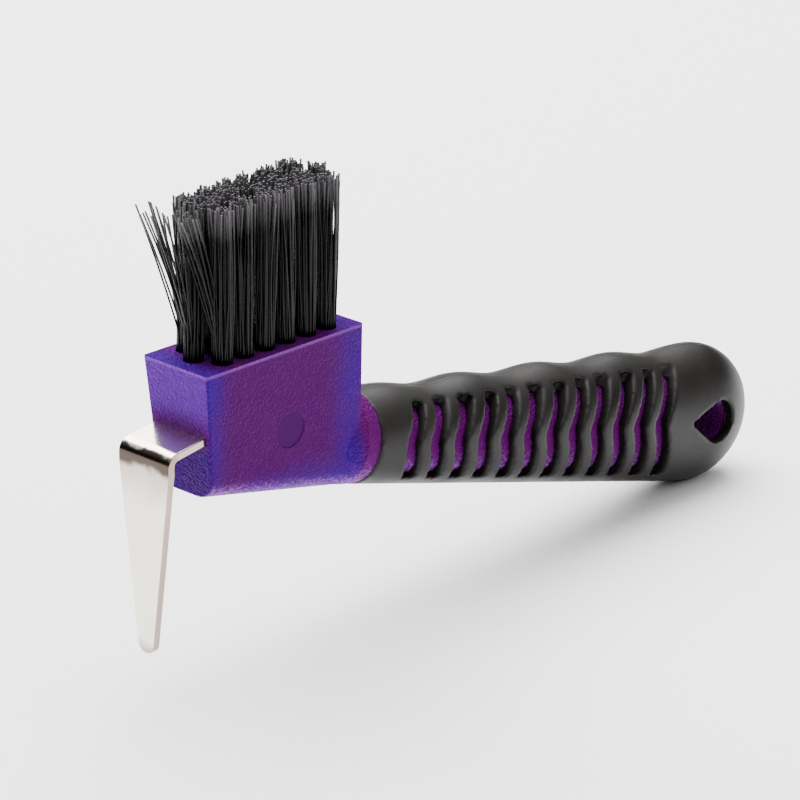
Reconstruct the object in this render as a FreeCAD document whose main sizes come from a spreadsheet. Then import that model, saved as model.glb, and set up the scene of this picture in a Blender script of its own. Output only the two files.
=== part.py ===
import FreeCAD, Part
import math
import os
import re

import Sketcher

# A hoof pick: a moulded head with a brush of tufts on top and a steel pick at
# its front, on a handle core that carries an overmoulded rubber grip.
# Head frame: X runs from the front of the head to the butt, Y across, Z along
# the bristles, with the middle of the top face's front edge at the origin.
# The row origin is the bottom centre of the finished outline.

SIZES = [
    ("originAlong", 91.288, "row origin behind the front of the head, the middle of the length"),
    ("originDrop", 75.553, "row origin below the top face, level with the lowest point"),
    ("headLength", 48.4, "top face, front to rear"),
    ("headWidth", 20.0, "top face, side to side"),
    ("headHeight", 29.7, "front of the head, top face to base"),
    ("frontLean", 5.8, "degrees, front face leans in towards the base"),
    ("sideLean", 2.75, "degrees of moulding draft on each side"),
    ("rearLean", 2.0, "degrees, rear face leans out towards the base"),
    ("baseRound", 5.6, "radius of the long bottom edges of the head"),
    ("edgeRound", 0.7, "radius of the upright edges of the head"),
    ("markDiameter", 8.6, "round gate mark on each side of the head"),
    ("markDepth", 0.15, "how far the mark is sunk"),
    ("markAlong", 26.4, "mark centre from the front of the head"),
    ("markDown", 19.6, "mark centre below the top face"),
    ("handleTilt", 12.25, "degrees, handle axis and head base below the top face"),
    ("axisDrop", 19.5, "handle axis below the top face, at the front of the head"),
    ("collarRadius", 10.8, "round collar between the head and the grip"),
    ("collarRoot", 8.0, "radius of the flare where it leaves the head"),
    ("flareStart", 44.5, "along the handle axis"),
    ("collarStart", 50.8, "along the handle axis"),
    ("gripStart", 54.5, "front face of the rubber, along the handle axis"),
    ("gripLength", 142.0, "rubber, front face to butt"),
    ("gripWidthFront", 22.8, "rubber, side to side at the front"),
    ("gripWidthButt", 24.0, "rubber, side to side at the butt"),
    ("gripTopFront", 11.3, "crest line above the axis, at the front"),
    ("gripTopButt", 16.6, "crest line above the axis, at the butt"),
    ("gripBaseFront", 10.9, "underside below the axis, at the front"),
    ("gripBaseButt", 18.5, "underside below the axis, at the butt"),
    ("noseLength", 20.0, "rounded end of the butt"),
    ("scallopDepth", 1.3, "finger grooves along the top"),
    ("frontLand", 9.2, "first crest behind the front of the rubber"),
    ("rearLand", 2.8, "last crest ahead of the rounded end"),
    ("wallFront", 2.0, "rubber over the core at the front, and depth of the slots there"),
    ("wallButt", 2.8, "rubber over the core at the butt"),
    ("endRubber", 4.5, "rubber behind the end of the core"),
    ("slotWidth", 4.4, "side slots in the rubber"),
    ("firstSlot", 10.5, "knee of the first slot behind the front of the rubber"),
    ("lastSlotGap", 23.3, "knee of the last slot ahead of the hanging hole"),
    ("slotTopMargin", 2.1, "upper slot end below the crest line"),
    ("slotBaseMargin", 3.0, "lower slot end above the underside"),
    ("slotFloorGap", 10.0, "between the floors of opposite slots where they run past the core"),
    ("slotBend", 25.5, "degrees that each half of a slot leans back from its knee"),
    ("kneeRound", 3.0, "rounding of the knee at mid height"),
    ("holeInset", 19.0, "hanging hole centre ahead of the butt"),
    ("holeRadius", 5.3, "round end of the hanging hole"),
    ("holePoint", 11.2, "point of the hanging hole ahead of its centre"),
    ("plate", 2.0, "thickness of the pick"),
    ("pickWidth", 15.8, "width of the pick at the head"),
    ("pickReach", 9.6, "outer face of the blade ahead of the head"),
    ("pickDrop", 19.2, "centre of the bend below the top face"),
    ("pickEnd", 64.8, "tip below the top face"),
    ("bendRadius", 3.2, "outer radius of the bend"),
    ("legSlope", 7.8, "degrees that the leg and tang rise towards the rear"),
    ("legLength", 8.4, "bend to front face"),
    ("tangLength", 22.5, "length of the pick inside the head"),
    ("tangHole", 4.0, "locking holes in the tang, filled by the moulding"),
    ("tangHoleGap", 9.0, "between the two locking holes"),
    ("taperStart", 21.0, "start of the blade's taper below the top face"),
    ("tipRadius", 2.5, "rounded tip of the blade"),
    ("pickEdge", 0.35, "rounding of the edges of the pick"),
    ("tuftDiameter", 4.7, "bundle of filaments"),
    ("tuftFree", 36.0, "free length above the top face"),
    ("tuftDepth", 8.0, "depth of each drilled hole"),
    ("tuftPlay", 0.05, "gap between bundle and hole wall"),
    ("tuftFrontMargin", 5.7, "first middle tuft behind the front edge"),
    ("tuftRearMargin", 4.3, "last middle tuft ahead of the rear edge"),
    ("tuftRowGap", 5.6, "between the rows"),
    ("anchorThick", 0.4, "flat wire that pins a bundle in its hole"),
    ("anchorHigh", 1.6, "height of that wire"),
    ("anchorBite", 0.25, "how far each end is driven into the hole wall"),
]

SIDE_TUFTS = 6        # tufts in the near row, and in the far row
SCALLOPS = 4
SLOTS = 12
SECTION_POINTS = 20   # points round each section of the grip
NOSE_STEPS = (18, 36, 52, 66, 77, 85)     # degrees round the butt's quarter ellipse
BEYOND = 60.0         # reach of cutting tools past the part

doc = FreeCAD.newDocument("HoofPick")
sheet = doc.addObject("Spreadsheet::Sheet", "Sizes")


def fill_sheet():
    for row, (alias, value, note) in enumerate(SIZES, start=1):
        sheet.set("A%d" % row, alias)
        sheet.set("B%d" % row, str(value))
        sheet.set("C%d" % row, note)
        sheet.setAlias("B%d" % row, alias)
    doc.recompute()


def size(alias):
    return float(sheet.get(alias))


def names(expression):
    """Put the sheet's name before each of its aliases in an expression."""
    aliases = [entry[0] for entry in SIZES]
    return re.sub(r"[A-Za-z]+", lambda word: "Sizes." * (word[0] in aliases) + word[0], expression)


def bind(thing, **sizes):
    for path, expression in sizes.items():
        thing.setExpression(path.replace("__", "."), names(expression))
    return thing


def place(thing, along, across, up, turn="0", axis=(0, 1, 0)):
    """Place an object at a point of the head frame, turned about one axis."""
    thing.Placement = FreeCAD.Placement(FreeCAD.Vector(0, 0, 0), FreeCAD.Rotation(FreeCAD.Vector(*axis), 1))
    return bind(thing, Placement__Base__x="( %s ) - originAlong" % along, Placement__Base__y=across,
                Placement__Base__z="( %s ) + originDrop" % up, Placement__Rotation__Angle=turn)


def on_handle(along, up):
    """Head frame place of a point given along and above the handle axis."""
    cosine, sine = "cos( handleTilt * 1 deg )", "sin( handleTilt * 1 deg )"
    return ("( %s ) * %s + ( %s ) * %s" % (along, cosine, up, sine),
            "0 - axisDrop - ( %s ) * %s + ( %s ) * %s" % (along, sine, up, cosine))


def cut(name, base, tool):
    made = doc.addObject("Part::Cut", name)
    made.Base, made.Tool = base, tool
    return made


def fuse(name, things, refine=True):
    made = doc.addObject("Part::MultiFuse", name)
    made.Shapes = things
    made.Refine = refine
    return made


def round_edges(name, base, radius, wanted):
    """Fillet the edges of base that the test picks."""
    doc.recompute()
    made = doc.addObject("Part::Fillet", name)
    made.Base = base
    chosen = [count for count, edge in enumerate(base.Shape.Edges, start=1) if wanted(edge)]
    made.Edges = [(count, radius, radius) for count in chosen]
    return made


def origin_plane(body, role):
    return next(plane for plane in body.Origin.OriginFeatures if plane.Role == role)


def new_sketch(body, name, role):
    sketch = body.newObject("Sketcher::SketchObject", name)
    sketch.AttachmentSupport = (origin_plane(body, role), "")
    sketch.MapMode = "FlatFace"
    return sketch


def datum(sketch, name, expression, *constraint):
    index = sketch.addConstraint(Sketcher.Constraint(*constraint))
    sketch.renameConstraint(index, name)
    sketch.setExpression("Constraints." + name, names(expression))


def runs_along(edge, direction, slack=0.1):
    """True for a straight edge within a slack, in radians, of a direction."""
    if edge.Curve.TypeId != "Part::GeomLine":
        return False
    angle = edge.Curve.Direction.getAngle(FreeCAD.Vector(*direction))
    return min(angle, math.pi - angle) < slack


# ---- head ----

def make_head():
    """Drafted block with a sloping base, round long bottom edges and gate marks."""
    depth = 70.0
    block = doc.addObject("Part::Wedge", "headBlock")
    lean = "%s * tan( %s * 1 deg )"
    front, side, rear = (lean % (depth, alias) for alias in ("frontLean", "sideLean", "rearLean"))
    bind(block, Xmin="0", Xmax="headLength", Ymin="0", Ymax=str(depth),
         Zmin="0 - headWidth / 2", Zmax="headWidth / 2", X2min=front, X2max="headLength + %s" % rear,
         Z2min="0 - headWidth / 2 + %s" % side, Z2max="headWidth / 2 - %s" % side)
    place(block, "0", "0", "0", "-90", axis=(1, 0, 0))
    below = doc.addObject("Part::Box", "belowBase")
    bind(below, Length="2 * %s + headLength" % BEYOND, Width=str(2 * BEYOND), Height=str(2 * BEYOND))
    place(below, "0 - %s * cos( handleTilt * 1 deg ) - %s * sin( handleTilt * 1 deg )" % (BEYOND, 2 * BEYOND),
          str(-BEYOND),
          "0 - headHeight + %s * sin( handleTilt * 1 deg ) - %s * cos( handleTilt * 1 deg )"
          % (BEYOND, 2 * BEYOND), "handleTilt")
    sloped = cut("slopedHead", block, below)
    tilt = math.radians(size("handleTilt"))
    along_base = (math.cos(tilt), 0, -math.sin(tilt))
    rounded = round_edges("roundBase", sloped, size("baseRound"), lambda edge: runs_along(edge, along_base))
    eased = round_edges("easedHead", rounded, size("edgeRound"),
                        lambda edge: runs_along(edge, (0, 0, 1), 0.2) and edge.BoundBox.ZLength > 10)
    marks = []
    for side_name, sign in (("Near", -1), ("Far", 1)):
        mark = doc.addObject("Part::Cylinder", "mark" + side_name)
        bind(mark, Radius="markDiameter / 2", Height=str(BEYOND))
        reach = "headWidth / 2 - markDown * tan( sideLean * 1 deg ) - markDepth"
        place(mark, "markAlong", "%d * ( %s )" % (sign, reach), "0 - markDown",
              "%d * ( 90 + sideLean )" % -sign, axis=(1, 0, 0))
        marks.append(mark)
    return cut("markedHead", eased, fuse("marks", marks))


# ---- handle core ----

def grip_share(along):
    """How far a place is along the straight part of the grip, from 0 to 1."""
    return "( ( %s ) - gripStart ) / ( gripLength - noseLength )" % along


def between(front, butt, share):
    return "( %s + ( %s - %s ) * %s )" % (front, butt, front, share)


def make_collar():
    flare = doc.addObject("Part::Cone", "collarFlare")
    bind(flare, Radius1="collarRoot", Radius2="collarRadius", Height="collarStart - flareStart")
    along, up = on_handle("flareStart", "0")
    place(flare, along, "0", up, "90 + handleTilt")
    ring = doc.addObject("Part::Cylinder", "collarRing")
    bind(ring, Radius="collarRadius", Height="gripStart - collarStart")
    along, up = on_handle("collarStart", "0")
    place(ring, along, "0", up, "90 + handleTilt")
    return [flare, ring]


def make_hole(name):
    """Teardrop prism of the hanging hole, its point towards the head."""
    body = doc.addObject("PartDesign::Body", name)
    sketch = new_sketch(body, name + "Outline", "XZ_Plane")
    radius, point = size("holeRadius"), size("holePoint")
    lean = math.acos(radius / point)
    touch = FreeCAD.Vector(-radius * math.cos(lean), radius * math.sin(lean), 0)
    mirror = FreeCAD.Vector(touch.x, -touch.y, 0)
    tip = FreeCAD.Vector(-point, 0, 0)
    circle = Part.Circle(FreeCAD.Vector(0, 0, 0), FreeCAD.Vector(0, 0, 1), radius)
    sketch.addGeometry(Part.ArcOfCircle(circle, -(math.pi - lean), math.pi - lean))
    sketch.addGeometry(Part.LineSegment(touch, tip))
    sketch.addGeometry(Part.LineSegment(tip, mirror))
    sketch.addConstraint(Sketcher.Constraint("Coincident", 0, 3, -1, 1))
    sketch.addConstraint(Sketcher.Constraint("Tangent", 0, 2, 1, 1))
    sketch.addConstraint(Sketcher.Constraint("Coincident", 1, 2, 2, 1))
    sketch.addConstraint(Sketcher.Constraint("Tangent", 2, 2, 0, 1))
    sketch.addConstraint(Sketcher.Constraint("PointOnObject", 1, 2, -1))
    datum(sketch, "radius", "holeRadius", "Radius", 0, radius)
    datum(sketch, "point", "holePoint", "DistanceX", 1, 2, -1, 1, point)
    pad = body.newObject("PartDesign::Pad", name + "Pad")
    pad.Profile = sketch
    pad.Midplane = True
    pad.Length = BEYOND
    along, up = on_handle("gripStart + gripLength - holeInset", "0 - 0.6")
    place(body, along, "0", up, "handleTilt")
    return body


# ---- grip ----

def make_section(along, scallop, wall, shrink=1.0):
    """Closed curve round the grip, or a wall inside it, at a place along the axis, in the head frame."""
    share = min((along - size("gripStart")) / (size("gripLength") - size("noseLength")), 1.0)

    def tapered(front, butt):
        return size(front) + (size(butt) - size(front)) * share

    under = tapered("wallFront", "wallButt") if wall else 0
    top = tapered("gripTopFront", "gripTopButt") - size("scallopDepth") * scallop - under
    base = tapered("gripBaseFront", "gripBaseButt") - under
    half = (tapered("gripWidthFront", "gripWidthButt") / 2 - under) * shrink
    tilt = math.radians(size("handleTilt"))
    forward = FreeCAD.Vector(math.cos(tilt), 0, -math.sin(tilt))
    upward = FreeCAD.Vector(math.sin(tilt), 0, math.cos(tilt))
    middle = FreeCAD.Vector(0, 0, -size("axisDrop")) + forward * along + upward * ((top - base) / 2)
    points = []
    for step in range(SECTION_POINTS):
        turn = 2 * math.pi * step / SECTION_POINTS
        side = FreeCAD.Vector(0, half * math.cos(turn), 0)
        points.append(middle + side + upward * ((top + base) / 2 * shrink * math.sin(turn)))
    curve = Part.BSplineCurve()
    curve.interpolate(Points=points, PeriodicFlag=True)
    return Part.Wire(curve.toShape())


def make_loft(name, stations, wall, nose_length):
    """Stations along the handle with their share of a groove, then a quarter ellipse round the butt."""
    nose = size("gripStart") + size("gripLength") - size("noseLength")
    sections = [make_section(along, scallop, wall) for along, scallop in stations]
    for turn in (0,) + NOSE_STEPS:
        angle = math.radians(turn)
        sections.append(make_section(nose + nose_length * math.sin(angle), int(wall), wall, math.cos(angle)))
    loft = doc.addObject("Part::Feature", name)
    loft.Shape = Part.makeLoft(sections, True, wall)
    return place(loft, "0", "0", "0")


def make_grip_outside():
    """Outside of the rubber, through the crests and valleys of the finger grooves."""
    start = size("gripStart")
    crest = start + size("frontLand")
    last = start + size("gripLength") - size("noseLength") - size("rearLand")
    steps = 4 * SCALLOPS
    waves = [(start, 0.5), (start + size("frontLand") / 2, 0.2)]
    for step in range(steps + 1):
        scallop = (1 - math.cos(2 * math.pi * step / 4)) / 2
        waves.append((crest + (last - crest) * step / steps, scallop))
    return make_loft("gripOutside", waves, False, size("noseLength"))


def make_handle_core():
    """Tapering bar under the rubber, a wall inside the lowest line of the grooves."""
    return make_loft("bar", [(size("collarStart"), 1)], True, size("noseLength") - size("endRubber"))


def make_slots():
    """Slots cut in from both sides, down to the core, each with a knee towards the head."""
    first = "gripStart + firstSlot"
    run = "( gripLength - holeInset - lastSlotGap - firstSlot )"
    bent = []
    for count in range(SLOTS):
        along = "%s + %s * %d / %d" % (first, run, count, SLOTS - 1)
        share = grip_share(along)
        crest = between("gripTopFront", "gripTopButt", share)
        top = "( %s - scallopDepth / 2 - slotTopMargin )" % crest
        base = "( %s - slotBaseMargin )" % between("gripBaseFront", "gripBaseButt", share)
        number = "%02d" % (count + 1)
        halves = [make_slot_half("slotUpper" + number, along, top, 90),
                  make_slot_half("slotLower" + number, along, base, -90)]
        chevron = fuse("slotChevron" + number, halves)
        bent.append(round_edges("slot" + number, chevron, size("kneeRound"), is_knee))
    middle_slab = doc.addObject("Part::Box", "slotFloor")
    bind(middle_slab, Length="gripLength + %s" % BEYOND, Width="slotFloorGap", Height=str(2 * BEYOND))
    x, z = on_handle("gripStart - %s / 2" % BEYOND, "0 - %s" % BEYOND)
    place(middle_slab, x, "0 - slotFloorGap / 2", z, "handleTilt")
    whole = doc.addObject("Part::Compound", "slotPrisms")
    whole.Links = bent
    return cut("slots", whole, middle_slab)


def make_slot_half(name, along, reach, lay):
    """Skewed prism from the handle axis up or down to one end of a slot."""
    half = doc.addObject("Part::Wedge", name)
    lean = "%s * tan( slotBend * 1 deg )" % reach
    bind(half, Xmin="0 - slotWidth / 2", Xmax="slotWidth / 2", Ymin="0", Ymax=reach,
         Zmin=str(-BEYOND / 2), Zmax=str(BEYOND / 2), Z2min=str(-BEYOND / 2), Z2max=str(BEYOND / 2),
         X2min="%s - slotWidth / 2" % lean, X2max="%s + slotWidth / 2" % lean)
    x, z = on_handle(along, "0")
    place(half, x, "0", z)
    tilt = FreeCAD.Rotation(FreeCAD.Vector(0, 1, 0), size("handleTilt"))
    half.setExpression("Placement.Rotation.Angle", None)
    half.Placement.Rotation = tilt.multiply(FreeCAD.Rotation(FreeCAD.Vector(1, 0, 0), lay))
    return half


def is_knee(edge):
    """An edge across the handle that lies level with its axis."""
    if not runs_along(edge, (0, 1, 0)):
        return False
    tilt = math.radians(size("handleTilt"))
    middle = edge.CenterOfMass
    along = middle.x + size("originAlong")
    below_top = size("originDrop") - middle.z
    up = along * math.sin(tilt) + (size("axisDrop") - below_top) * math.cos(tilt)
    return abs(up) < size("slotWidth") / 4


# ---- pick ----

def make_pick():
    """Bent strip: tang, leg, bend and a tapering blade with a round tip."""
    body = doc.addObject("PartDesign::Body", "pickStrip")
    side = new_sketch(body, "pickSide", "XZ_Plane")
    slope = math.radians(size("legSlope"))
    outer, plate = size("bendRadius"), size("plate")
    inner = outer - plate
    centre = FreeCAD.Vector(outer - size("pickReach"), -size("pickDrop"), 0)
    rise = FreeCAD.Vector(-math.sin(slope), math.cos(slope), 0)
    back = FreeCAD.Vector(math.cos(slope), math.sin(slope), 0)
    reach = size("legLength") + size("tangLength")
    left = FreeCAD.Vector(-1, 0, 0)
    bottom = -size("pickEnd")
    top_bend, low_bend = centre + rise * outer, centre + rise * inner
    out_bend, in_bend = centre + left * outer, centre + left * inner
    out_tip, in_tip = FreeCAD.Vector(out_bend.x, bottom, 0), FreeCAD.Vector(in_bend.x, bottom, 0)
    normal = FreeCAD.Vector(0, 0, 1)
    turn = math.pi / 2 + slope
    shapes = [Part.LineSegment(top_bend + back * reach, top_bend),
              Part.ArcOfCircle(Part.Circle(centre, normal, outer), turn, math.pi),
              Part.LineSegment(out_bend, out_tip),
              Part.LineSegment(out_tip, in_tip),
              Part.LineSegment(in_tip, in_bend),
              Part.ArcOfCircle(Part.Circle(centre, normal, inner), turn, math.pi),
              Part.LineSegment(low_bend, low_bend + back * reach),
              Part.LineSegment(low_bend + back * reach, top_bend + back * reach)]
    side.addGeometry(shapes)
    for joint in (("Tangent", 0, 2, 1, 1), ("Tangent", 1, 2, 2, 1), ("Coincident", 2, 2, 3, 1),
                  ("Coincident", 3, 2, 4, 1), ("Tangent", 4, 2, 5, 2), ("Tangent", 5, 1, 6, 1),
                  ("Coincident", 6, 2, 7, 1), ("Coincident", 7, 2, 0, 1), ("Coincident", 1, 3, 5, 3),
                  ("Vertical", 2), ("Horizontal", 3), ("Perpendicular", 7, 0)):
        side.addConstraint(Sketcher.Constraint(*joint))
    datum(side, "outer", "bendRadius", "Radius", 1, outer)
    datum(side, "inner", "bendRadius - plate", "Radius", 5, inner)
    datum(side, "centreAlong", "pickReach - bendRadius", "DistanceX", 1, 3, -1, 1, -centre.x)
    datum(side, "centreDown", "pickDrop", "DistanceY", 1, 3, -1, 1, -centre.y)
    datum(side, "tipDown", "pickEnd", "DistanceY", 2, 2, -1, 1, -bottom)
    datum(side, "reach", "legLength + tangLength", "Distance", 0, reach)
    datum(side, "slope", "legSlope * 1 deg", "Angle", -1, 1, 6, 1, slope)
    pad = body.newObject("PartDesign::Pad", "pickPad")
    pad.Profile = side
    pad.Midplane = True
    pad.setExpression("Length", "Sizes.pickWidth")
    place(body, "0", "0", "0")

    blade = doc.addObject("PartDesign::Body", "bladeOutline")
    front = new_sketch(blade, "bladeFront", "YZ_Plane")
    half, radius = size("pickWidth") / 2, size("tipRadius")
    start, tip = -size("taperStart"), FreeCAD.Vector(0, -size("pickEnd") + radius, 0)
    drop = start - tip.y
    chord = math.hypot(half, drop)
    lean = math.atan2(half, drop) - math.asin(radius / chord)
    touch = FreeCAD.Vector(radius * math.cos(lean), tip.y - radius * math.sin(lean), 0)
    corners = [FreeCAD.Vector(-half, start, 0), FreeCAD.Vector(-half, 0, 0),
               FreeCAD.Vector(half, 0, 0), FreeCAD.Vector(half, start, 0)]
    front.addGeometry([Part.LineSegment(corners[0], corners[1]), Part.LineSegment(corners[1], corners[2]),
                       Part.LineSegment(corners[2], corners[3]), Part.LineSegment(corners[3], touch),
                       Part.ArcOfCircle(Part.Circle(tip, normal, radius), math.pi + lean, -lean),
                       Part.LineSegment(FreeCAD.Vector(-touch.x, touch.y, 0), corners[0])])
    for joint in (("Coincident", 0, 2, 1, 1), ("Coincident", 1, 2, 2, 1), ("Coincident", 2, 2, 3, 1),
                  ("Tangent", 3, 2, 4, 2), ("Tangent", 4, 1, 5, 1), ("Coincident", 5, 2, 0, 1),
                  ("Vertical", 0), ("Symmetric", 0, 2, 1, 2, -2),
                  ("Symmetric", 0, 1, 2, 2, -2), ("PointOnObject", 0, 2, -1), ("PointOnObject", 4, 3, -2)):
        front.addConstraint(Sketcher.Constraint(*joint))
    datum(front, "width", "pickWidth", "DistanceX", 1, 1, 1, 2, 2 * half)
    datum(front, "start", "taperStart", "DistanceY", 0, 1, 0, 2, -start)
    datum(front, "radius", "tipRadius", "Radius", 4, radius)
    datum(front, "tip", "pickEnd - tipRadius", "DistanceY", 4, 3, -1, 1, -tip.y)
    through = blade.newObject("PartDesign::Pad", "bladePad")
    through.Profile = front
    through.Midplane = True
    through.Length = 2 * BEYOND
    place(blade, "0", "0", "0")

    flat = doc.addObject("Part::Common", "flatPick")
    flat.Base, flat.Tool = body, blade
    holes = []
    for count, sign in enumerate("-+", start=1):
        hole = doc.addObject("Part::Cylinder", "tangHole%d" % count)
        bind(hole, Radius="tangHole / 2", Height=str(BEYOND))
        back_by = "legLength + tangLength / 2 %s tangHoleGap / 2" % sign
        place(hole, "bendRadius - pickReach + ( %s ) * cos( legSlope * 1 deg )" % back_by, "0",
              "0 - pickDrop - %s / 4" % BEYOND)
        holes.append(hole)
    drilled = cut("drilledPick", flat, fuse("tangHoles", holes))
    return round_edges("pick", drilled, size("pickEdge"), on_blade)


def on_blade(edge):
    """Long outer edges of the leg, bend and blade, ahead of the head."""
    middle = edge.CenterOfMass
    ahead = middle.x + size("originAlong") < 0
    return ahead and edge.Length > 1.5 and abs(middle.y) > 0.5 or is_tip(edge)


def is_tip(edge):
    return (edge.Curve.TypeId == "Part::GeomCircle"
            and edge.CenterOfMass.z - size("originDrop") < -size("pickEnd") + 2 * size("tipRadius"))


# ---- brush ----

def tuft_places():
    """Name, row and place along the head of each tuft, front to rear."""
    pitch = "( headLength - tuftFrontMargin - tuftRearMargin ) / %d" % SIDE_TUFTS
    for row, sign, count, offset in (("near", -1, SIDE_TUFTS, 0.5), ("middle", 0, SIDE_TUFTS + 1, 0),
                                     ("far", 1, SIDE_TUFTS, 0.5)):
        for number in range(count):
            along = "tuftFrontMargin + %s * %s" % (pitch, number + offset)
            yield "tuft_%s_%d" % (row, number + 1), along, "%d * tuftRowGap" % sign


def make_brush():
    """A bundle for each hole, the wire that pins it, and the hole itself."""
    tufts, anchors, holes = [], [], []
    for name, along, across_head in tuft_places():
        anchor = doc.addObject("Part::Box", "anchor_" + name)
        width = "tuftDiameter + 2 * tuftPlay + 2 * anchorBite"
        bind(anchor, Length="anchorThick", Width=width, Height="anchorHigh")
        place(anchor, "%s - anchorThick / 2" % along, "%s - ( %s ) / 2" % (across_head, width), "0 - tuftDepth")
        anchors.append(anchor)
        bundle = doc.addObject("Part::Cylinder", "bundle_" + name)
        bind(bundle, Radius="tuftDiameter / 2", Height="tuftFree + tuftDepth")
        place(bundle, along, across_head, "0 - tuftDepth")
        tufts.append((name, cut(name, bundle, anchor)))
        hole = doc.addObject("Part::Cylinder", "hole_" + name)
        bind(hole, Radius="tuftDiameter / 2 + tuftPlay", Height="tuftDepth + %s" % BEYOND)
        place(hole, along, across_head, "0 - tuftDepth")
        holes.append(hole)
    return tufts, anchors, holes


# ---- whole ----

def build():
    fill_sheet()
    tufts, anchors, holes = make_brush()
    pick = make_pick()
    hanging_hole = make_hole("hangingHole")
    handle_core = make_handle_core()
    moulding = fuse("moulding", [make_head()] + make_collar() + [handle_core], refine=False)
    bored = cut("boredMoulding", moulding, hanging_hole)
    drilled = cut("drilledMoulding", bored, fuse("brushRoom", holes + anchors))
    core = cut("core", drilled, pick)
    hollow = cut("gripHollow", make_grip_outside(), handle_core)
    holed = cut("gripHoled", hollow, hanging_hole)
    grip = cut("grip", holed, make_slots())
    staples = doc.addObject("Part::Compound", "staples")
    staples.Links = anchors
    nodes = {"head_and_handle_core": core, "rubber_grip": grip, "hoof_pick_blade": pick,
             "tuft_anchors": staples}
    nodes.update(dict(tufts))
    for label, thing in nodes.items():
        thing.Label = label
    doc.recompute()
    return nodes


def whole_box(nodes):
    box = FreeCAD.BoundBox()
    for thing in nodes.values():
        box.add(thing.Shape.optimalBoundingBox(False, False))
    return box


def check(nodes):
    for thing in doc.Objects:
        if "Invalid" in thing.State or "Error" in thing.State:
            raise RuntimeError("failed: %s %s" % (thing.Name, thing.State))
    for label, thing in nodes.items():
        if thing.Shape.isNull() or not thing.Shape.isValid() or not thing.Shape.Solids:
            raise RuntimeError("bad shape: " + label)


def write(nodes):
    os.makedirs("parts", exist_ok=True)
    for label, thing in nodes.items():
        thing.Shape.exportStep(os.path.join("parts", label + ".step"))


def main():
    nodes = build()
    check(nodes)
    write(nodes)
    box = whole_box(nodes)
    print("size", round(box.XLength, 3), round(box.YLength, 3), round(box.ZLength, 3))
    print("middle and floor", round(box.Center.x, 4), round(box.Center.y, 4), round(box.ZMin, 4))


main()
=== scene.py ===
import math
import random

import bmesh
import bpy
from mathutils import Euler, Matrix, Vector


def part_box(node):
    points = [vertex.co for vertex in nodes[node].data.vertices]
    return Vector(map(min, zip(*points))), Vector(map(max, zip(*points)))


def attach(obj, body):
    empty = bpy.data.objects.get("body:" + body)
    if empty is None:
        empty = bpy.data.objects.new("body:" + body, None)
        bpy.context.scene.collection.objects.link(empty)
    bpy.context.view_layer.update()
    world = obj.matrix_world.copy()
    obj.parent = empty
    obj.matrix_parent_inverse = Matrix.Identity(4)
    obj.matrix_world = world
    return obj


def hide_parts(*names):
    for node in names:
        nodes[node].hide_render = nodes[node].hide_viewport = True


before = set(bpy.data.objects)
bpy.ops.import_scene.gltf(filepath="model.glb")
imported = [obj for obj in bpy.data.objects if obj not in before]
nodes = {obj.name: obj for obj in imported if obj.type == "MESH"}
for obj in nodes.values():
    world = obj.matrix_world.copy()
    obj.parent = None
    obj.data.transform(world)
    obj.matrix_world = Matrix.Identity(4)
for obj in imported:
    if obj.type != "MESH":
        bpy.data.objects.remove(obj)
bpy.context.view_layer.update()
mm = 0.001


def say(stage):
    print("hoof pick:", stage)


def nothingSelected():
    if bpy.context.object and bpy.context.object.mode != "OBJECT":
        bpy.ops.object.mode_set(mode="OBJECT")
    bpy.ops.object.select_all(action="DESELECT")


def choose(piece):
    nothingSelected()
    piece.select_set(True)
    bpy.context.view_layer.objects.active = piece


def applyAll(piece):
    choose(piece)
    for modifier in list(piece.modifiers):
        bpy.ops.object.modifier_apply(modifier=modifier.name)


def paint(piece, material):
    piece.data.materials.clear()
    piece.data.materials.append(material)


def finishPiece(piece, material, replaced):
    paint(piece, material)
    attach(piece, "root")
    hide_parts(replaced)


def newMaterial(name):
    material = bpy.data.materials.new(name)
    material.use_nodes = True
    tree = material.node_tree
    return material, tree, tree.nodes["Principled BSDF"]


def addNode(tree, kind, settings=None, **inputs):
    node = tree.nodes.new(kind)
    for key, value in (settings or {}).items():
        setattr(node, key, value)
    for key, value in inputs.items():
        node.inputs[key].default_value = value
    return node


def newGroup(name, inputs, outputs):
    tree = bpy.data.node_groups.new(name, "ShaderNodeTree")
    tree.interface.new_socket(name="Place", in_out="INPUT", socket_type="NodeSocketVector")
    for label in inputs:
        tree.interface.new_socket(name=label, in_out="INPUT", socket_type="NodeSocketFloat")
    for label in outputs:
        tree.interface.new_socket(name=label, in_out="OUTPUT", socket_type="NodeSocketFloat")
    return tree, tree.nodes.new("NodeGroupInput").outputs, tree.nodes.new("NodeGroupOutput").inputs


def useGroup(tree, group, place, **inputs):
    node = addNode(tree, "ShaderNodeGroup", {"node_tree": group}, **inputs)
    tree.links.new(place, node.inputs["Place"])
    return node.outputs


def feed(tree, sockets, values):
    for socket, value in zip(sockets, values):
        if isinstance(value, bpy.types.NodeSocket):
            tree.links.new(value, socket)
        elif value is not None:
            socket.default_value = value


def addNoise(tree, place, scale, detail, roughness=0.5):
    node = addNode(tree, "ShaderNodeTexNoise", Detail=detail, Roughness=roughness)
    feed(tree, (node.inputs["Vector"], node.inputs["Scale"]), (place, scale))
    return node.outputs


def maths(tree, operation, first, second=None, clamp=False):
    node = addNode(tree, "ShaderNodeMath", {"operation": operation, "use_clamp": clamp})
    feed(tree, node.inputs, (first, second))
    return node.outputs[0]


def times(tree, first, *factors):
    for factor in factors:
        first = maths(tree, "MULTIPLY", first, factor)
    return first


def plus(tree, first, second, clamp=False):
    return maths(tree, "ADD", first, second, clamp)


def minus(tree, first, second):
    return maths(tree, "SUBTRACT", first, second)


def magnitude(tree, value):
    return maths(tree, "ABSOLUTE", value)


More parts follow.
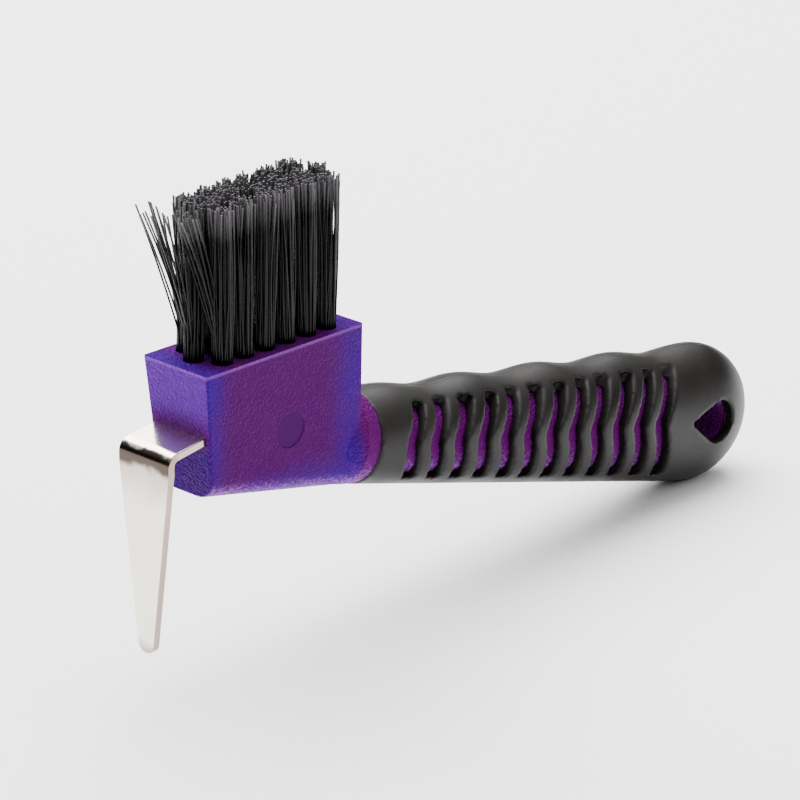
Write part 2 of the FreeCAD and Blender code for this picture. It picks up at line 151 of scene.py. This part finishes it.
def rising(tree, value, low, high, bottom=0.0, top=1.0):
    # smooth step from bottom at low to top at high
    node = addNode(tree, "ShaderNodeMapRange", {"interpolation_type": "SMOOTHSTEP"})
    tree.links.new(value, node.inputs["Value"])
    for key, number in (("From Min", low), ("From Max", high), ("To Min", bottom), ("To Max", top)):
        node.inputs[key].default_value = number
    return node.outputs["Result"]


def falling(tree, value, low, high):
    return rising(tree, value, low, high, 1.0, 0.0)


def mixColor(tree, share, first, second):
    node = addNode(tree, "ShaderNodeMix", {"data_type": "RGBA"})
    feed(tree, (node.inputs[0], node.inputs[6], node.inputs[7]), (share, first, second))
    return node.outputs[2]


def axes(tree, vector):
    node = addNode(tree, "ShaderNodeSeparateXYZ")
    tree.links.new(vector, node.inputs[0])
    return node.outputs


def objectPlace(tree):
    return addNode(tree, "ShaderNodeTexCoord").outputs["Object"]


def facing(tree):
    return axes(tree, addNode(tree, "ShaderNodeNewGeometry").outputs["Normal"])


def addBump(tree, shader, height, strength, distance):
    bump = addNode(tree, "ShaderNodeBump", Strength=strength, Distance=distance)
    tree.links.new(height, bump.inputs["Height"])
    tree.links.new(bump.outputs["Normal"], shader.inputs["Normal"])


grainPattern = {
    "warpNoise": {"scale": 420.0, "detail": 2.0}, "warp": 0.9 * mm, "melt": 0.6,
    "fineNoise": {"scale": 2600.0, "detail": 3.0, "roughness": 0.6}, "fine": 0.35, "crease": (0.35, 0.75),
}


def makeGrainGroup():
    # leathery mould texture: rounded cells with creases between, broken up by noise
    tree, given, result = newGroup("mouldGrain", ("Cells",), ("Height", "Crease"))
    place = given["Place"]
    push = addNode(tree, "ShaderNodeVectorMath", {"operation": "MULTIPLY_ADD"})
    warp = addNoise(tree, place, **grainPattern["warpNoise"])["Color"]
    feed(tree, push.inputs, (warp, (grainPattern["warp"],) * 3, place))
    cells = addNode(tree, "ShaderNodeTexVoronoi", {"feature": "SMOOTH_F1"}, Smoothness=grainPattern["melt"])
    tree.links.new(push.outputs[0], cells.inputs["Vector"])
    tree.links.new(given["Cells"], cells.inputs["Scale"])
    away = cells.outputs["Distance"]
    fine = addNoise(tree, place, **grainPattern["fineNoise"])["Fac"]
    bumpy = plus(tree, minus(tree, 1.0, away), times(tree, fine, grainPattern["fine"]))
    tree.links.new(bumpy, result["Height"])
    tree.links.new(rising(tree, away, *grainPattern["crease"]), result["Crease"])
    return tree


wearPattern = {
    "largeNoise": {"detail": 4.0, "roughness": 0.55}, "blotches": (0.35, 0.65),
    "smallNoise": {"detail": 2.0, "roughness": 0.7}, "specks": (0.62, 0.74),
}


def makeWearGroup():
    # wandering blotches and small specks that change colour and gloss
    tree, given, result = newGroup("handlingWear", ("Blotch", "Speck"), ("Blotches", "Specks"))
    large = addNoise(tree, given["Place"], given["Blotch"], **wearPattern["largeNoise"])["Fac"]
    small = addNoise(tree, given["Place"], given["Speck"], **wearPattern["smallNoise"])["Fac"]
    tree.links.new(rising(tree, large, *wearPattern["blotches"]), result["Blotches"])
    tree.links.new(rising(tree, small, *wearPattern["specks"]), result["Specks"])
    return tree


mouldGrain = makeGrainGroup()
handlingWear = makeWearGroup()


purple = {
    "deep": (0.055, 0.0, 0.076, 1), "blue": (0.030, 0.0, 0.170, 1), "magenta": (0.078, 0.0, 0.088, 1),
    "violet": (0.115, 0.02, 0.30, 1), "wine": (0.085, 0.0, 0.10, 1), "bloom": (0.13, 0.012, 0.25, 1),
    "mark": (0.026, 0.0, 0.060, 1), "burrAndHighlight": (0.42, 0.13, 0.66, 1),
    "cells": 1500.0, "bump": 1.0, "grain": 0.65 * mm, "blotch": 70.0, "speck": 2400.0,
    "rough": 0.40, "roughSpread": 0.12, "shine": 0.03, "polish": 0.6,
    "firstTuft": 6.6 * mm, "tuftDepth": 8 * mm,
    "frontGlow": (1 * mm, 9 * mm), "rearGlow": (14 * mm, 5 * mm), "baseGlow": (36 * mm, 26 * mm),
    "glow": 0.65, "glowSpread": 0.3, "collarBand": (4 * mm, 1 * mm),
    "violetBand": (17 * mm, 9 * mm), "violetShare": 0.75, "pickDown": 15 * mm, "wineReach": 6 * mm,
    "wineShare": 0.7, "markAlong": 26.4 * mm, "markDown": 19.6 * mm, "markRadius": 4.3 * mm,
    "markEdge": 0.3 * mm, "markShare": 0.4, "markPolish": 0.8, "creaseFleck": 0.10, "speckFleck": 0.30,
    "rim": (1.0 * mm, 0.4 * mm), "rimBase": 0.30, "rimShare": 0.8, "underBase": 0.25, "underShare": 0.45,
    "creaseBand": (0.5, 1.0), "forward": (-0.98, -0.80), "sideways": (0.9, 0.99),
    "upright": (0.5, 0.7), "downward": (-0.75, -0.2),
}


def headColor(tree, place, wear, front, rear, top):
    # painted glow: thin edges painted bluer and the thick middle and the round collar redder, standing in
    # for light passing through the translucent moulding
    frontEdge = falling(tree, place["X"], *(front + reach for reach in purple["frontGlow"]))
    rearEdge = rising(tree, place["X"], *(rear - reach for reach in purple["rearGlow"]))
    lowEdge = falling(tree, place["Z"], *(top - reach for reach in purple["baseGlow"]))
    collar = rising(tree, place["X"], *(rear - reach for reach in purple["collarBand"]))
    edges = maths(tree, "MAXIMUM", maths(tree, "MAXIMUM", frontEdge, rearEdge), lowEdge, clamp=True)
    uneven = plus(tree, purple["glow"], times(tree, wear["Blotches"], purple["glowSpread"]))
    base = mixColor(tree, times(tree, edges, uneven), purple["deep"], purple["blue"])
    return mixColor(tree, collar, base, purple["magenta"])


def frontColor(tree, base, place, normal, top):
    # the front face catches more light high up, and reddens above the pick
    forward = falling(tree, normal["X"], *purple["forward"])
    high = rising(tree, place["Z"], *(top - reach for reach in purple["violetBand"]))
    fromPick = magnitude(tree, minus(tree, place["Z"], top - purple["pickDown"]))
    nearPick = falling(tree, fromPick, 0.0, purple["wineReach"])
    base = mixColor(tree, times(tree, forward, high, purple["violetShare"]), base, purple["violet"])
    return mixColor(tree, times(tree, forward, nearPick, purple["wineShare"]), base, purple["wine"])


def gateMark(tree, place, sideways, front, top):
    # round mark on the side faces
    away = addNode(tree, "ShaderNodeCombineXYZ")
    tree.links.new(minus(tree, place["X"], front + purple["markAlong"]), away.inputs["X"])
    tree.links.new(minus(tree, place["Z"], top - purple["markDown"]), away.inputs["Z"])
    radius = addNode(tree, "ShaderNodeVectorMath", {"operation": "LENGTH"})
    tree.links.new(away.outputs[0], radius.inputs[0])
    inside = falling(tree, radius.outputs["Value"], purple["markRadius"] - purple["markEdge"],
                     purple["markRadius"])
    return times(tree, inside, sideways)


def burrAndPaintedHighlights(tree, place, normal, grain, wear, top):
    # ragged light rim round the top face, partly the moulding's burr and partly painted edge highlight, and
    # a rough light band under the base, painted bounce light from the floor
    rim = rising(tree, place["Z"], *(top - reach for reach in purple["rim"]))
    upright = falling(tree, magnitude(tree, normal["Z"]), *purple["upright"])
    broken = plus(tree, purple["rimBase"], wear["Specks"], clamp=True)
    # painted bounce light: downward faces lighter, most in the creases
    downward = falling(tree, normal["Z"], *purple["downward"])
    creased = plus(tree, purple["underBase"], grain["Crease"])
    rough = maths(tree, "MULTIPLY", downward, creased, clamp=True)
    return maths(tree, "MAXIMUM", times(tree, rim, upright, broken, purple["rimShare"]),
                 times(tree, rough, purple["underShare"]))


def makePurpleMoulding():
    material, tree, shader = newMaterial("purpleMoulding")
    spot = objectPlace(tree)
    place, normal = axes(tree, spot), facing(tree)
    grain = useGroup(tree, mouldGrain, spot, Cells=purple["cells"])
    wear = useGroup(tree, handlingWear, spot, Blotch=purple["blotch"], Speck=purple["speck"])
    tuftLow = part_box("tuft_near_1")[0]
    front, top = tuftLow.x - purple["firstTuft"], tuftLow.z + purple["tuftDepth"]
    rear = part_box("rubber_grip")[0].x
    # painted translucency glow: bluer thin edges, redder thick middle and collar
    base = headColor(tree, place, wear, front, rear, top)
    base = frontColor(tree, base, place, normal, top)
    sideways = rising(tree, magnitude(tree, normal["Y"]), *purple["sideways"])
    mark = gateMark(tree, place, sideways, front, top)
    base = mixColor(tree, times(tree, mark, purple["markShare"]), base, purple["mark"])
    plain = minus(tree, 1.0, times(tree, mark, purple["markPolish"]))
    creases = rising(tree, grain["Crease"], *purple["creaseBand"], top=purple["creaseFleck"])
    flecks = plus(tree, creases, times(tree, wear["Specks"], purple["speckFleck"]))
    base = mixColor(tree, times(tree, flecks, plain), base, purple["bloom"])
    # painted highlights: light rim round the top and painted bounce light under the base
    light = burrAndPaintedHighlights(tree, place, normal, grain, wear, top)
    tree.links.new(mixColor(tree, light, base, purple["burrAndHighlight"]), shader.inputs["Base Color"])
    # the side faces have less grain than the others
    coarse = times(tree, plain, minus(tree, 1.0, times(tree, sideways, purple["polish"])))
    addBump(tree, shader, times(tree, grain["Height"], coarse), purple["bump"], purple["grain"])
    tree.links.new(plus(tree, purple["rough"], times(tree, wear["Blotches"], purple["roughSpread"])),
                   shader.inputs["Roughness"])
    shader.inputs["Specular IOR Level"].default_value = purple["shine"]
    return material


rubber = {
    "dark": (0.0045, 0.0038, 0.0034, 1), "dusty": (0.0135, 0.0115, 0.0105, 1),
    "blotch": 60.0, "speck": 1900.0, "blotchDust": 0.35, "speckDust": 0.4,
    "rough": 0.40, "roughSpread": 0.12, "shine": 0.20,
    "fineNoise": {"scale": 3000.0, "detail": 2.0}, "fine": 0.25, "bump": 0.5, "depth": 0.1 * mm,
    "seam": (0.22 * mm, 0.55 * mm), "seamAcross": 0.6 * mm,
}


def makeBlackRubber():
    material, tree, shader = newMaterial("blackRubber")
    spot = objectPlace(tree)
    wear = useGroup(tree, handlingWear, spot, Blotch=rubber["blotch"], Speck=rubber["speck"])
    fine = addNoise(tree, spot, **rubber["fineNoise"])["Fac"]
    # mould parting line along the crest
    across = magnitude(tree, plus(tree, axes(tree, spot)["Y"], rubber["seamAcross"]))
    seam = rising(tree, across, *rubber["seam"])
    dust = plus(tree, times(tree, wear["Blotches"], rubber["blotchDust"]),
                times(tree, wear["Specks"], rubber["speckDust"]), clamp=True)
    tree.links.new(mixColor(tree, dust, rubber["dark"], rubber["dusty"]), shader.inputs["Base Color"])
    tree.links.new(plus(tree, rubber["rough"], times(tree, wear["Blotches"], rubber["roughSpread"])),
                   shader.inputs["Roughness"])
    level = plus(tree, times(tree, fine, rubber["fine"]), seam)
    addBump(tree, shader, level, rubber["bump"], rubber["depth"])
    shader.inputs["Specular IOR Level"].default_value = rubber["shine"]
    return material


nickel = {
    "bright": (0.84, 0.79, 0.68, 1), "shade": (0.36, 0.29, 0.29, 1), "dark": (0.035, 0.022, 0.016, 1),
    "sheared": (0.34, 0.24, 0.21, 1), "blotch": 140.0, "speck": 2200.0,
    "blotchShade": 0.10, "speckShade": 0.25,
    "bendLow": 44.0 * mm, "bendHigh": 47.3 * mm, "fade": 11.0 * mm, "wander": 1.2 * mm,
    "face": 2.4 * mm, "faceEdge": 0.6 * mm, "highEdge": 0.8 * mm, "lowEdge": 1.0 * mm,
    "shadeShare": 0.75, "darkShare": 0.93, "tip": (0.6 * mm, 3.8 * mm), "tipShare": 0.6,
    "edges": (0.6, 0.8), "edgeShare": 0.85,
    "brushNoise": {"scale": 2400.0, "detail": 3.0}, "brushStretch": 0.06,
    "rough": 0.12, "roughSpread": 0.12, "bump": 0.12, "depth": 0.04 * mm,
}


def paintedBendReflectionAndTip(tree, tone, place, low, wear):
    # painted reflection and shade: a dark band along the outside of the bend and a mauve shade fading below
    # it, standing in for what the curved plating reflects; also darker at the tip
    wander = times(tree, minus(tree, wear["Blotches"], 0.5), nickel["wander"])
    height = plus(tree, minus(tree, place["Z"], low.z), wander)
    face = low.x + nickel["face"]
    outside = falling(tree, place["X"], face, face + nickel["faceEdge"])
    under = rising(tree, height, nickel["bendLow"] - nickel["fade"], nickel["bendLow"])
    above = falling(tree, height, nickel["bendHigh"], nickel["bendHigh"] + nickel["highEdge"])
    band = rising(tree, height, nickel["bendLow"] - nickel["lowEdge"],
                  nickel["bendLow"] + nickel["highEdge"])
    tip = falling(tree, height, *nickel["tip"])
    tone = mixColor(tree, times(tree, under, above, outside, nickel["shadeShare"]), tone, nickel["shade"])
    tone = mixColor(tree, times(tree, band, above, outside, nickel["darkShare"]), tone, nickel["dark"])
    return mixColor(tree, times(tree, tip, nickel["tipShare"]), tone, nickel["dark"])


def makeNickelPlate():
    material, tree, shader = newMaterial("nickelPlate")
    spot = objectPlace(tree)
    wear = useGroup(tree, handlingWear, spot, Blotch=nickel["blotch"], Speck=nickel["speck"])
    dulled = times(tree, wear["Blotches"], nickel["blotchShade"])
    tone = mixColor(tree, dulled, nickel["bright"], nickel["shade"])
    tone = mixColor(tree, times(tree, wear["Specks"], nickel["speckShade"]), tone, nickel["shade"])
    # painted reflection and shade along the bend of the pick
    tone = paintedBendReflectionAndTip(tree, tone, axes(tree, spot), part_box("hoof_pick_blade")[0], wear)
    # sheared edges of the strip are darker
    sheared = rising(tree, magnitude(tree, facing(tree)["Y"]), *nickel["edges"])
    tone = mixColor(tree, times(tree, sheared, nickel["edgeShare"]), tone, nickel["sheared"])
    tree.links.new(tone, shader.inputs["Base Color"])
    shader.inputs["Metallic"].default_value = 1.0
    stretch = addNode(tree, "ShaderNodeMapping", Scale=(1.0, 1.0, nickel["brushStretch"]))
    tree.links.new(spot, stretch.inputs["Vector"])
    brushed = addNoise(tree, stretch.outputs["Vector"], **nickel["brushNoise"])["Fac"]
    tree.links.new(plus(tree, nickel["rough"], times(tree, brushed, nickel["roughSpread"])),
                   shader.inputs["Roughness"])
    addBump(tree, shader, brushed, nickel["bump"], nickel["depth"])
    return material


wire = {
    "light": (0.5, 0.5, 0.5, 1), "dull": (0.35, 0.34, 0.33, 1), "blotch": 300.0, "speck": 2500.0,
    "rough": 0.35,
}


def makeAnchorWire():
    material, tree, shader = newMaterial("anchorWire")
    wear = useGroup(tree, handlingWear, objectPlace(tree), Blotch=wire["blotch"], Speck=wire["speck"])
    tone = mixColor(tree, wear["Blotches"], wire["light"], wire["dull"])
    tree.links.new(tone, shader.inputs["Base Color"])
    shader.inputs["Metallic"].default_value = 1.0
    shader.inputs["Roughness"].default_value = wire["rough"]
    return material


bristle = {
    "perTuft": 60, "radius": 0.235 * mm, "sides": 7, "cuts": 5, "packed": 2.12 * mm, "holeDepth": 8 * mm,
    "flare": 1.22, "wander": 0.95 * mm, "driftShare": 0.55, "bowShare": 0.35,
    "uneven": 2.6 * mm, "unevenSpread": 0.45, "tuftLean": 0.45 * mm, "straight": 0.75,
    "strays": 10, "strayLean": 12.0 * mm, "strayReach": (0.5, 1.0), "strayAside": 0.35, "seed": 19,
    "smoothAngle": 60.0, "black": (0.0004, 0.0004, 0.0005, 1), "worn": (0.0010, 0.0009, 0.0012, 1),
    "grey": (0.085, 0.08, 0.085, 1), "blotch": 200.0, "speck": 1700.0, "wornShare": 0.5,
    "rough": 0.18, "roughSpread": 0.12, "shine": 0.14,
}


def makeBlackBristle():
    material, tree, shader = newMaterial("blackBristle")
    wear = useGroup(tree, handlingWear, objectPlace(tree), Blotch=bristle["blotch"], Speck=bristle["speck"])
    cutEnd = addNode(tree, "ShaderNodeAttribute", {"attribute_name": "cutEnd"}).outputs["Fac"]
    worn = times(tree, wear["Blotches"], bristle["wornShare"])
    tone = mixColor(tree, worn, bristle["black"], bristle["worn"])
    tree.links.new(mixColor(tree, cutEnd, tone, bristle["grey"]), shader.inputs["Base Color"])
    tree.links.new(plus(tree, bristle["rough"], times(tree, wear["Blotches"], bristle["roughSpread"])),
                   shader.inputs["Roughness"])
    shader.inputs["Specular IOR Level"].default_value = bristle["shine"]
    return material


def makeFilament():
    # one straight filament, one metre tall from the origin, with its cut end marked
    nothingSelected()
    bpy.ops.mesh.primitive_cylinder_add(vertices=bristle["sides"], radius=bristle["radius"], depth=1.0,
                                        location=(0, 0, 0.5))
    filament = bpy.context.object
    filament.name = "filament"
    bpy.ops.object.transform_apply(location=True, rotation=True, scale=True)
    bpy.ops.object.mode_set(mode="EDIT")
    bpy.ops.mesh.select_mode(type="EDGE")
    bpy.ops.mesh.select_all(action="DESELECT")
    mesh = bmesh.from_edit_mesh(filament.data)
    for edge in mesh.edges:
        edge.select = abs(edge.verts[0].co.z - edge.verts[1].co.z) > 0.5  # the long edges
    bmesh.update_edit_mesh(filament.data)
    bpy.ops.mesh.subdivide(number_cuts=bristle["cuts"])
    bpy.ops.object.mode_set(mode="OBJECT")
    mark = filament.data.attributes.new("cutEnd", "FLOAT", "POINT")
    for vertex in filament.data.vertices:
        mark.data[vertex.index].value = 1.0 if vertex.co.z > 0.999 else 0.0  # the top ring
    return filament


def flatGauss(chance, spread):
    return Vector((chance.gauss(0, 1), chance.gauss(0, 1), 0)) * spread


def bendFilament(vertices, root, lean, bow, foot, height, spin):
    # upright in its hole, then leaning more towards the tip, with a bow that is widest halfway
    for vertex in vertices:
        up = vertex.co.z * height
        free = max(0.0, (up - bristle["holeDepth"]) / (height - bristle["holeDepth"]))
        reach = bristle["straight"] * free + (1 - bristle["straight"]) * free * free
        across = Matrix.Rotation(spin, 3, "Z") @ Vector((vertex.co.x, vertex.co.y, 0))
        path = root + lean * reach + bow * math.sin(math.pi * free)
        vertex.co = foot + Vector((0, 0, up)) + path + across


def makeTuft(name, filament, material, chance, strays):
    low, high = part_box(name)
    foot = Vector(((low.x + high.x) / 2, (low.y + high.y) / 2, low.z))
    goldenTurn = math.pi * (3 - math.sqrt(5))
    count = bristle["perTuft"]
    mesh = bmesh.new()
    tuftLean = flatGauss(chance, bristle["tuftLean"])
    for number in range(count + strays):
        start = len(mesh.verts)
        mesh.from_mesh(filament.data)
        mesh.verts.ensure_lookup_table()
        share = math.sqrt((number % count + 0.5) / count)
        turn = goldenTurn * number
        root = Vector((math.cos(turn), math.sin(turn), 0)) * share * bristle["packed"]
        lean = root * (bristle["flare"] - 1) + flatGauss(chance, bristle["wander"] * bristle["driftShare"])
        lean += tuftLean
        if number >= count:
            forward = chance.uniform(*bristle["strayReach"])
            aside = chance.uniform(-bristle["strayAside"], bristle["strayAside"])
            lean += Vector((-forward, aside, 0)) * bristle["strayLean"]
        bow = flatGauss(chance, bristle["wander"] * bristle["bowShare"])
        height = high.z - abs(chance.gauss(0, bristle["unevenSpread"])) * bristle["uneven"] - low.z
        spin = chance.uniform(0, 2 * math.pi)
        bendFilament(mesh.verts[start:], root, lean, bow, foot, height, spin)
    data = bpy.data.meshes.new(name.replace("tuft", "bristles"))
    mesh.to_mesh(data)
    mesh.free()
    piece = bpy.data.objects.new(data.name, data)
    bpy.context.scene.collection.objects.link(piece)
    choose(piece)
    bpy.ops.object.shade_smooth_by_angle(angle=math.radians(bristle["smoothAngle"]))
    finishPiece(piece, material, name)


def makeBrush(material):
    chance = random.Random(bristle["seed"])
    filament = makeFilament()
    tufts = sorted(node for node in nodes if node.startswith("tuft_") and node != "tuft_anchors")
    for name in tufts:
        # the tufts next to the pick have strays
        makeTuft(name, filament, material, chance, bristle["strays"] if name.endswith("_1") else 0)
    bpy.data.objects.remove(filament)
    say("bristles, %d tufts" % len(tufts))


grip = {"voxel": 0.54 * mm, "smoothing": 2, "smoothFactor": 0.5, "weld": 0.02 * mm}


def makeGrip(material):
    # the moulding's sharp corners are softened all over
    piece = nodes["rubber_grip"].copy()
    piece.data = piece.data.copy()
    piece.name = "softGrip"
    piece.parent = None
    for key in list(piece.keys()):
        del piece[key]
    bpy.context.scene.collection.objects.link(piece)
    choose(piece)
    bpy.ops.object.mode_set(mode="EDIT")
    bpy.ops.mesh.select_all(action="SELECT")
    bpy.ops.mesh.remove_doubles(threshold=grip["weld"])
    bpy.ops.object.mode_set(mode="OBJECT")
    remesh = piece.modifiers.new("remesh", "REMESH")
    remesh.mode = "VOXEL"
    remesh.voxel_size = grip["voxel"]
    smooth = piece.modifiers.new("smooth", "SMOOTH")
    smooth.factor = grip["smoothFactor"]
    smooth.iterations = grip["smoothing"]
    applyAll(piece)
    bpy.ops.object.shade_smooth()
    finishPiece(piece, material, "rubber_grip")
    say("grip, %d faces" % len(piece.data.polygons))


view = {
    "place": (-0.70359, -0.64566, 0.41092), "azimuth": -46.62, "elevation": 21.09, "roll": 0.55,
    "lens": 197.98, "sensor": 36.0, "farthest": 20.0,
}


def makeCamera():
    camera = bpy.data.objects.new("studioCamera", bpy.data.cameras.new("studioCamera"))
    bpy.context.scene.collection.objects.link(camera)
    camera.data.lens = view["lens"]
    camera.data.sensor_width = view["sensor"]
    camera.data.clip_end = view["farthest"]
    aim = Euler((math.radians(90 - view["elevation"]), 0, math.radians(view["azimuth"])))
    spin = Matrix.Rotation(math.radians(view["roll"]), 4, "Z")
    camera.matrix_world = Matrix.Translation(view["place"]) @ aim.to_matrix().to_4x4() @ spin
    bpy.context.scene.camera = camera


studio = {
    "floorSize": 8.0, "floorCuts": 8, "floorTone": (0.96, 0.96, 0.965, 1), "floorWhite": (1, 1, 1, 1),
    "floorNoise": {"scale": 4.0, "detail": 1.0}, "floorVariation": 0.04,
    "floorRough": 0.9, "floorShine": 0.1,
    "skyTone": (1, 1, 1, 1), "horizon": 0.04, "zenith": 1.5, "skyLow": 0.20, "skyHigh": 0.90,
    "lights": (
        {"name": "overhead", "place": (0.25, 0.55, 1.25), "aim": (0.0, 0.0, 0.0),
         "size": 1.7, "power": 88.0},
        {"name": "leftWash", "place": (-1.1, 0.25, 0.75), "aim": (-0.09, 0.0, 0.05),
         "size": 0.5, "power": 3.0},
        {"name": "front", "place": (0.15, -1.3, 0.85), "aim": (0.0, 0.0, 0.05),
         "size": 0.7, "power": 3.0},
    ),
}


def makeFloor():
    bpy.ops.mesh.primitive_grid_add(x_subdivisions=studio["floorCuts"], y_subdivisions=studio["floorCuts"],
                                    size=studio["floorSize"])
    floor = bpy.context.object
    floor.name = "studioFloor"
    material, tree, shader = newMaterial("paleFloor")
    shade = times(tree, addNoise(tree, objectPlace(tree), **studio["floorNoise"])["Fac"],
                  studio["floorVariation"])
    tone = mixColor(tree, shade, studio["floorTone"], studio["floorWhite"])
    tree.links.new(tone, shader.inputs["Base Color"])
    shader.inputs["Roughness"].default_value = studio["floorRough"]
    shader.inputs["Specular IOR Level"].default_value = studio["floorShine"]
    floor.data.materials.append(material)


def makeSky():
    # bright overhead and dim near the horizon, so that the nickel has something dark to reflect
    world = bpy.data.worlds.new("studioWorld")
    world.use_nodes = True
    tree = world.node_tree
    direction = addNode(tree, "ShaderNodeTexCoord").outputs["Generated"]
    power = rising(tree, axes(tree, direction)["Z"], studio["skyLow"], studio["skyHigh"],
                   studio["horizon"], studio["zenith"])
    background = tree.nodes["Background"]
    tree.links.new(power, background.inputs["Strength"])
    background.inputs["Color"].default_value = studio["skyTone"]
    bpy.context.scene.world = world


def makeLights():
    for lamp in studio["lights"]:
        light = bpy.data.objects.new(lamp["name"], bpy.data.lights.new(lamp["name"], "AREA"))
        light.data.size = lamp["size"]
        light.data.energy = lamp["power"]
        light.location = lamp["place"]
        direction = Vector(lamp["aim"]) - Vector(lamp["place"])
        light.rotation_euler = direction.to_track_quat("-Z", "Y").to_euler()
        bpy.context.scene.collection.objects.link(light)


makeCamera()
makeFloor()
makeLights()
makeSky()
say("studio")
paint(nodes["head_and_handle_core"], makePurpleMoulding())
say("head and handle core")
paint(nodes["hoof_pick_blade"], makeNickelPlate())
say("pick")
paint(nodes["tuft_anchors"], makeAnchorWire())
say("anchor wires")
makeGrip(makeBlackRubber())
makeBrush(makeBlackBristle())

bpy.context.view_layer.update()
say("sizes written")
